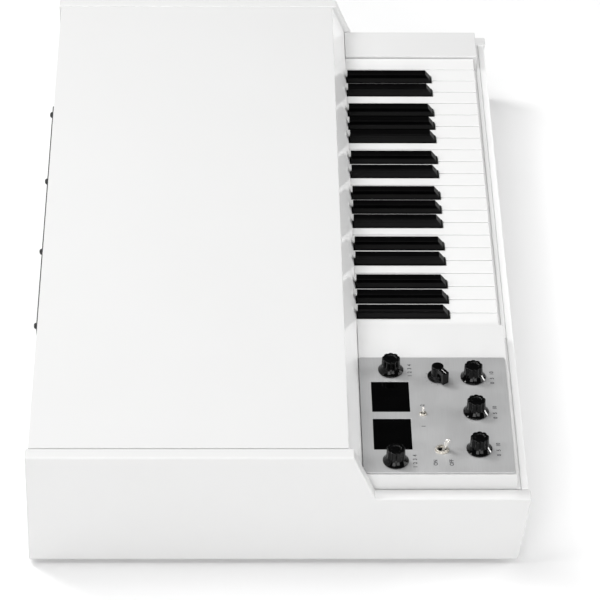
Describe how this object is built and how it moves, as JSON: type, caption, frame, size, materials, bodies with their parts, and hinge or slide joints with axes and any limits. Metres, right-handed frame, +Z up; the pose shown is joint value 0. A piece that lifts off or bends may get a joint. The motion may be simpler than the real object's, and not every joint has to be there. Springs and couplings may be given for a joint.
{
  "type": "sample playback keyboard",
  "caption": "Free-standing sample playback keyboard: lacquered cabinet with sprung piano keys, turning knobs, toggle switches, two displays and a rear socket plate.",
  "frame": {"origin": "centre of the footprint, on the surface that the feet stand on", "axes": "+X to the player's right (treble), -Y towards the player, +Z up"},
  "size_m": [0.8518, 0.5036, 0.136],
  "materials": {
    "white_lacquer": "white satin-gloss lacquer over wood-fibre board",
    "white_key_plastic": "polished white",
    "black_key_plastic": "satin black",
    "knob_plastic": "glossy black",
    "display_black": "dark display, switched off",
    "satin_aluminium": "fine satin",
    "frame_aluminium": "mill",
    "chrome": "bright",
    "sheet_steel": "black powder coat",
    "circuit_board": "dark solder mask"
  },
  "bodies": {
    "cabinet": {"left_cheek": "white_lacquer", "right_cheek": "white_lacquer", "top_lid": "white_lacquer", "fallboard": "white_lacquer", "rear_panel": "white_lacquer", "connector_plate": "sheet_steel", "bottom_panel": "white_lacquer", "front_panel": "white_lacquer", "key_slip": "white_lacquer", "control_block": "white_lacquer", "treble_block": "white_lacquer", "control_plate": "satin_aluminium", "display_board": "display_black", "key_chassis": "frame_aluminium", "main_board": "circuit_board"},
    "volume_knob": {"volume_knob": "knob_plastic"},
    "tone_knob": {"tone_knob": "knob_plastic"},
    "pitch_knob": {"pitch_knob": "knob_plastic"},
    "mix_knob": {"mix_knob": "knob_plastic"},
    "select_a_knob": {"select_a_knob": "knob_plastic"},
    "select_b_knob": {"select_b_knob": "knob_plastic"},
    "power_toggle": {"power_toggle": "chrome"},
    "range_toggle": {"range_toggle": "chrome"},
    "white_key_01": {"white_key_01": "white_key_plastic"},
    "white_key_02": {"white_key_02": "white_key_plastic"},
    "white_key_03": {"white_key_03": "white_key_plastic"},
    "white_key_04": {"white_key_04": "white_key_plastic"},
    "white_key_05": {"white_key_05": "white_key_plastic"},
    "white_key_06": {"white_key_06": "white_key_plastic"},
    "white_key_07": {"white_key_07": "white_key_plastic"},
    "white_key_08": {"white_key_08": "white_key_plastic"},
    "white_key_09": {"white_key_09": "white_key_plastic"},
    "white_key_10": {"white_key_10": "white_key_plastic"},
    "white_key_11": {"white_key_11": "white_key_plastic"},
    "white_key_12": {"white_key_12": "white_key_plastic"},
    "white_key_13": {"white_key_13": "white_key_plastic"},
    "white_key_14": {"white_key_14": "white_key_plastic"},
    "white_key_15": {"white_key_15": "white_key_plastic"},
    "white_key_16": {"white_key_16": "white_key_plastic"},
    "white_key_17": {"white_key_17": "white_key_plastic"},
    "white_key_18": {"white_key_18": "white_key_plastic"},
    "white_key_19": {"white_key_19": "white_key_plastic"},
    "white_key_20": {"white_key_20": "white_key_plastic"},
    "white_key_21": {"white_key_21": "white_key_plastic"},
    "white_key_22": {"white_key_22": "white_key_plastic"},
    "black_key_01": {"black_key_01": "black_key_plastic"},
    "black_key_02": {"black_key_02": "black_key_plastic"},
    "black_key_03": {"black_key_03": "black_key_plastic"},
    "black_key_04": {"black_key_04": "black_key_plastic"},
    "black_key_05": {"black_key_05": "black_key_plastic"},
    "black_key_06": {"black_key_06": "black_key_plastic"},
    "black_key_07": {"black_key_07": "black_key_plastic"},
    "black_key_08": {"black_key_08": "black_key_plastic"},
    "black_key_09": {"black_key_09": "black_key_plastic"},
    "black_key_10": {"black_key_10": "black_key_plastic"},
    "black_key_11": {"black_key_11": "black_key_plastic"},
    "black_key_12": {"black_key_12": "black_key_plastic"},
    "black_key_13": {"black_key_13": "black_key_plastic"},
    "black_key_14": {"black_key_14": "black_key_plastic"},
    "black_key_15": {"black_key_15": "black_key_plastic"}
  },
  "joints": [
    {"name": "volume_turn", "type": "hinge", "parent": "cabinet", "child": "volume_knob", "pos_m": [-0.3721, -0.2015, 0.1038], "axis": [0, 0, -1], "range_deg": [0, 300]},
    {"name": "tone_turn", "type": "hinge", "parent": "cabinet", "child": "tone_knob", "pos_m": [-0.3124, -0.2013, 0.1038], "axis": [0, 0, -1], "range_deg": [0, 300]},
    {"name": "pitch_turn", "type": "hinge", "parent": "cabinet", "child": "pitch_knob", "pos_m": [-0.2551, -0.2013, 0.1038], "axis": [0, 0, -1], "range_deg": [0, 300]},
    {"name": "mix_turn", "type": "hinge", "parent": "cabinet", "child": "mix_knob", "pos_m": [-0.2546, -0.1645, 0.1038], "axis": [0, 0, -1], "range_deg": [-30, 270]},
    {"name": "select_a_turn", "type": "hinge", "parent": "cabinet", "child": "select_a_knob", "pos_m": [-0.3906, -0.1172, 0.1038], "axis": [0, 0, -1], "continuous": true},
    {"name": "select_b_turn", "type": "hinge", "parent": "cabinet", "child": "select_b_knob", "pos_m": [-0.2432, -0.1171, 0.1038], "axis": [0, 0, -1], "continuous": true},
    {"name": "power_flip", "type": "hinge", "parent": "cabinet", "child": "power_toggle", "pos_m": [-0.3728, -0.1641, 0.0988], "axis": [-1, 0, 0], "range_deg": [0, 37]},
    {"name": "range_flip", "type": "hinge", "parent": "cabinet", "child": "range_toggle", "pos_m": [-0.3149, -0.1476, 0.1008], "axis": [0, -1, 0], "range_deg": [0, 25]},
    {"name": "white_key_01_press", "type": "hinge", "parent": "cabinet", "child": "white_key_01", "pos_m": [-0.14935, -0.0235, 0.087], "axis": [1, 0, 0], "range_deg": [0, 2.73], "stiffness_Nm_per_rad": 0.84, "springref_deg": -11.92},
    {"name": "white_key_02_press", "type": "hinge", "parent": "cabinet", "child": "white_key_02", "pos_m": [-0.12585, -0.0235, 0.087], "axis": [1, 0, 0], "range_deg": [0, 2.73], "stiffness_Nm_per_rad": 0.84, "springref_deg": -11.92},
    {"name": "white_key_03_press", "type": "hinge", "parent": "cabinet", "child": "white_key_03", "pos_m": [-0.10235, -0.0235, 0.087], "axis": [1, 0, 0], "range_deg": [0, 2.73], "stiffness_Nm_per_rad": 0.84, "springref_deg": -11.92},
    {"name": "white_key_04_press", "type": "hinge", "parent": "cabinet", "child": "white_key_04", "pos_m": [-0.07885, -0.0235, 0.087], "axis": [1, 0, 0], "range_deg": [0, 2.73], "stiffness_Nm_per_rad": 0.84, "springref_deg": -11.92},
    {"name": "white_key_05_press", "type": "hinge", "parent": "cabinet", "child": "white_key_05", "pos_m": [-0.05535, -0.0235, 0.087], "axis": [1, 0, 0], "range_deg": [0, 2.73], "stiffness_Nm_per_rad": 0.84, "springref_deg": -11.92},
    {"name": "white_key_06_press", "type": "hinge", "parent": "cabinet", "child": "white_key_06", "pos_m": [-0.03185, -0.0235, 0.087], "axis": [1, 0, 0], "range_deg": [0, 2.73], "stiffness_Nm_per_rad": 0.84, "springref_deg": -11.92},
    {"name": "white_key_07_press", "type": "hinge", "parent": "cabinet", "child": "white_key_07", "pos_m": [-0.00835, -0.0235, 0.087], "axis": [1, 0, 0], "range_deg": [0, 2.73], "stiffness_Nm_per_rad": 0.84, "springref_deg": -11.92},
    {"name": "white_key_08_press", "type": "hinge", "parent": "cabinet", "child": "white_key_08", "pos_m": [0.01515, -0.0235, 0.087], "axis": [1, 0, 0], "range_deg": [0, 2.73], "stiffness_Nm_per_rad": 0.84, "springref_deg": -11.92},
    {"name": "white_key_09_press", "type": "hinge", "parent": "cabinet", "child": "white_key_09", "pos_m": [0.03865, -0.0235, 0.087], "axis": [1, 0, 0], "range_deg": [0, 2.73], "stiffness_Nm_per_rad": 0.84, "springref_deg": -11.92},
    {"name": "white_key_10_press", "type": "hinge", "parent": "cabinet", "child": "white_key_10", "pos_m": [0.06215, -0.0235, 0.087], "axis": [1, 0, 0], "range_deg": [0, 2.73], "stiffness_Nm_per_rad": 0.84, "springref_deg": -11.92},
    {"name": "white_key_11_press", "type": "hinge", "parent": "cabinet", "child": "white_key_11", "pos_m": [0.08565, -0.0235, 0.087], "axis": [1, 0, 0], "range_deg": [0, 2.73], "stiffness_Nm_per_rad": 0.84, "springref_deg": -11.92},
    {"name": "white_key_12_press", "type": "hinge", "parent": "cabinet", "child": "white_key_12", "pos_m": [0.10915, -0.0235, 0.087], "axis": [1, 0, 0], "range_deg": [0, 2.73], "stiffness_Nm_per_rad": 0.84, "springref_deg": -11.92},
    {"name": "white_key_13_press", "type": "hinge", "parent": "cabinet", "child": "white_key_13", "pos_m": [0.13265, -0.0235, 0.087], "axis": [1, 0, 0], "range_deg": [0, 2.73], "stiffness_Nm_per_rad": 0.84, "springref_deg": -11.92},
    {"name": "white_key_14_press", "type": "hinge", "parent": "cabinet", "child": "white_key_14", "pos_m": [0.15615, -0.0235, 0.087], "axis": [1, 0, 0], "range_deg": [0, 2.73], "stiffness_Nm_per_rad": 0.84, "springref_deg": -11.92},
    {"name": "white_key_15_press", "type": "hinge", "parent": "cabinet", "child": "white_key_15", "pos_m": [0.17965, -0.0235, 0.087], "axis": [1, 0, 0], "range_deg": [0, 2.73], "stiffness_Nm_per_rad": 0.84, "springref_deg": -11.92},
    {"name": "white_key_16_press", "type": "hinge", "parent": "cabinet", "child": "white_key_16", "pos_m": [0.20315, -0.0235, 0.087], "axis": [1, 0, 0], "range_deg": [0, 2.73], "stiffness_Nm_per_rad": 0.84, "springref_deg": -11.92},
    {"name": "white_key_17_press", "type": "hinge", "parent": "cabinet", "child": "white_key_17", "pos_m": [0.22665, -0.0235, 0.087], "axis": [1, 0, 0], "range_deg": [0, 2.73], "stiffness_Nm_per_rad": 0.84, "springref_deg": -11.92},
    {"name": "white_key_18_press", "type": "hinge", "parent": "cabinet", "child": "white_key_18", "pos_m": [0.25015, -0.0235, 0.087], "axis": [1, 0, 0], "range_deg": [0, 2.73], "stiffness_Nm_per_rad": 0.84, "springref_deg": -11.92},
    {"name": "white_key_19_press", "type": "hinge", "parent": "cabinet", "child": "white_key_19", "pos_m": [0.27365, -0.0235, 0.087], "axis": [1, 0, 0], "range_deg": [0, 2.73], "stiffness_Nm_per_rad": 0.84, "springref_deg": -11.92},
    {"name": "white_key_20_press", "type": "hinge", "parent": "cabinet", "child": "white_key_20", "pos_m": [0.29715, -0.0235, 0.087], "axis": [1, 0, 0], "range_deg": [0, 2.73], "stiffness_Nm_per_rad": 0.84, "springref_deg": -11.92},
    {"name": "white_key_21_press", "type": "hinge", "parent": "cabinet", "child": "white_key_21", "pos_m": [0.32065, -0.0235, 0.087], "axis": [1, 0, 0], "range_deg": [0, 2.73], "stiffness_Nm_per_rad": 0.84, "springref_deg": -11.92},
    {"name": "white_key_22_press", "type": "hinge", "parent": "cabinet", "child": "white_key_22", "pos_m": [0.34415, -0.0235, 0.087], "axis": [1, 0, 0], "range_deg": [0, 2.73], "stiffness_Nm_per_rad": 0.84, "springref_deg": -11.92},
    {"name": "black_key_01_press", "type": "hinge", "parent": "cabinet", "child": "black_key_01", "pos_m": [-0.14097, -0.0235, 0.087], "axis": [1, 0, 0], "range_deg": [0, 2.73], "stiffness_Nm_per_rad": 0.7, "springref_deg": -11.92},
    {"name": "black_key_02_press", "type": "hinge", "parent": "cabinet", "child": "black_key_02", "pos_m": [-0.1141, -0.0235, 0.087], "axis": [1, 0, 0], "range_deg": [0, 2.73], "stiffness_Nm_per_rad": 0.7, "springref_deg": -11.92},
    {"name": "black_key_03_press", "type": "hinge", "parent": "cabinet", "child": "black_key_03", "pos_m": [-0.08723, -0.0235, 0.087], "axis": [1, 0, 0], "range_deg": [0, 2.73], "stiffness_Nm_per_rad": 0.7, "springref_deg": -11.92},
    {"name": "black_key_04_press", "type": "hinge", "parent": "cabinet", "child": "black_key_04", "pos_m": [-0.04573, -0.0235, 0.087], "axis": [1, 0, 0], "range_deg": [0, 2.73], "stiffness_Nm_per_rad": 0.7, "springref_deg": -11.92},
    {"name": "black_key_05_press", "type": "hinge", "parent": "cabinet", "child": "black_key_05", "pos_m": [-0.01797, -0.0235, 0.087], "axis": [1, 0, 0], "range_deg": [0, 2.73], "stiffness_Nm_per_rad": 0.7, "springref_deg": -11.92},
    {"name": "black_key_06_press", "type": "hinge", "parent": "cabinet", "child": "black_key_06", "pos_m": [0.02353, -0.0235, 0.087], "axis": [1, 0, 0], "range_deg": [0, 2.73], "stiffness_Nm_per_rad": 0.7, "springref_deg": -11.92},
    {"name": "black_key_07_press", "type": "hinge", "parent": "cabinet", "child": "black_key_07", "pos_m": [0.0504, -0.0235, 0.087], "axis": [1, 0, 0], "range_deg": [0, 2.73], "stiffness_Nm_per_rad": 0.7, "springref_deg": -11.92},
    {"name": "black_key_08_press", "type": "hinge", "parent": "cabinet", "child": "black_key_08", "pos_m": [0.07727, -0.0235, 0.087], "axis": [1, 0, 0], "range_deg": [0, 2.73], "stiffness_Nm_per_rad": 0.7, "springref_deg": -11.92},
    {"name": "black_key_09_press", "type": "hinge", "parent": "cabinet", "child": "black_key_09", "pos_m": [0.11877, -0.0235, 0.087], "axis": [1, 0, 0], "range_deg": [0, 2.73], "stiffness_Nm_per_rad": 0.7, "springref_deg": -11.92},
    {"name": "black_key_10_press", "type": "hinge", "parent": "cabinet", "child": "black_key_10", "pos_m": [0.14653, -0.0235, 0.087], "axis": [1, 0, 0], "range_deg": [0, 2.73], "stiffness_Nm_per_rad": 0.7, "springref_deg": -11.92},
    {"name": "black_key_11_press", "type": "hinge", "parent": "cabinet", "child": "black_key_11", "pos_m": [0.18803, -0.0235, 0.087], "axis": [1, 0, 0], "range_deg": [0, 2.73], "stiffness_Nm_per_rad": 0.7, "springref_deg": -11.92},
    {"name": "black_key_12_press", "type": "hinge", "parent": "cabinet", "child": "black_key_12", "pos_m": [0.2149, -0.0235, 0.087], "axis": [1, 0, 0], "range_deg": [0, 2.73], "stiffness_Nm_per_rad": 0.7, "springref_deg": -11.92},
    {"name": "black_key_13_press", "type": "hinge", "parent": "cabinet", "child": "black_key_13", "pos_m": [0.24177, -0.0235, 0.087], "axis": [1, 0, 0], "range_deg": [0, 2.73], "stiffness_Nm_per_rad": 0.7, "springref_deg": -11.92},
    {"name": "black_key_14_press", "type": "hinge", "parent": "cabinet", "child": "black_key_14", "pos_m": [0.28327, -0.0235, 0.087], "axis": [1, 0, 0], "range_deg": [0, 2.73], "stiffness_Nm_per_rad": 0.7, "springref_deg": -11.92},
    {"name": "black_key_15_press", "type": "hinge", "parent": "cabinet", "child": "black_key_15", "pos_m": [0.31103, -0.0235, 0.087], "axis": [1, 0, 0], "range_deg": [0, 2.73], "stiffness_Nm_per_rad": 0.7, "springref_deg": -11.92}
  ]
}
